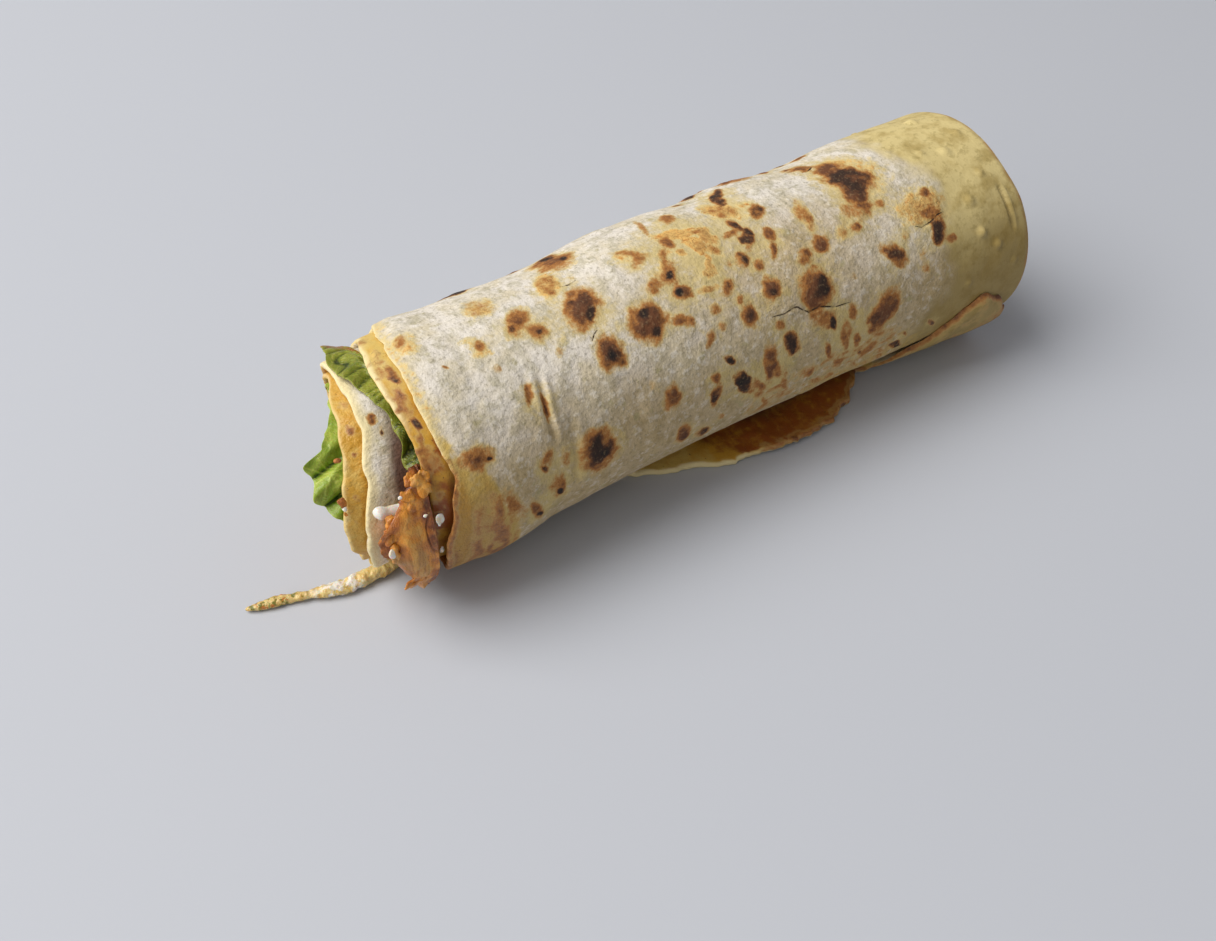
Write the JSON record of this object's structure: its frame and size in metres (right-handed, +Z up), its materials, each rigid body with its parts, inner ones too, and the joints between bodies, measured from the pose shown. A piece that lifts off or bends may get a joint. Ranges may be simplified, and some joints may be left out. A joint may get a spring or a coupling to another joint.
{
  "type": "doner kebab sandwich",
  "caption": "Rolled flatbread sandwich filled with chicken, lettuce and garlic sauce, open at one end and folded shut at the other. Lies on its side, ready to eat.",
  "frame": {"origin": "on the table under the roll, midway along its outermost winding", "axes": "+X along the roll towards its folded end, +Y towards the roll's back, away from the flap, +Z up"},
  "size_m": [0.2666, 0.0775, 0.071],
  "materials": {
    "flatbread": "floury toasted flatbread",
    "chicken_outside": "moist roast chicken",
    "chicken_core": "moist roast chicken",
    "lettuce_outside": "fresh leaf",
    "lettuce_core": "fresh leaf",
    "garlic_sauce": "wet sauce",
    "onion_strip": "moist onion"
  },
  "bodies": {
    "root": {"flatbread": "flatbread", "chicken_outside": "chicken_outside", "chicken_core": "chicken_core", "lettuce_outside": "lettuce_outside", "lettuce_core": "lettuce_core", "garlic_sauce": "garlic_sauce", "onion_strip": "onion_strip"}
  },
  "joints": []
}
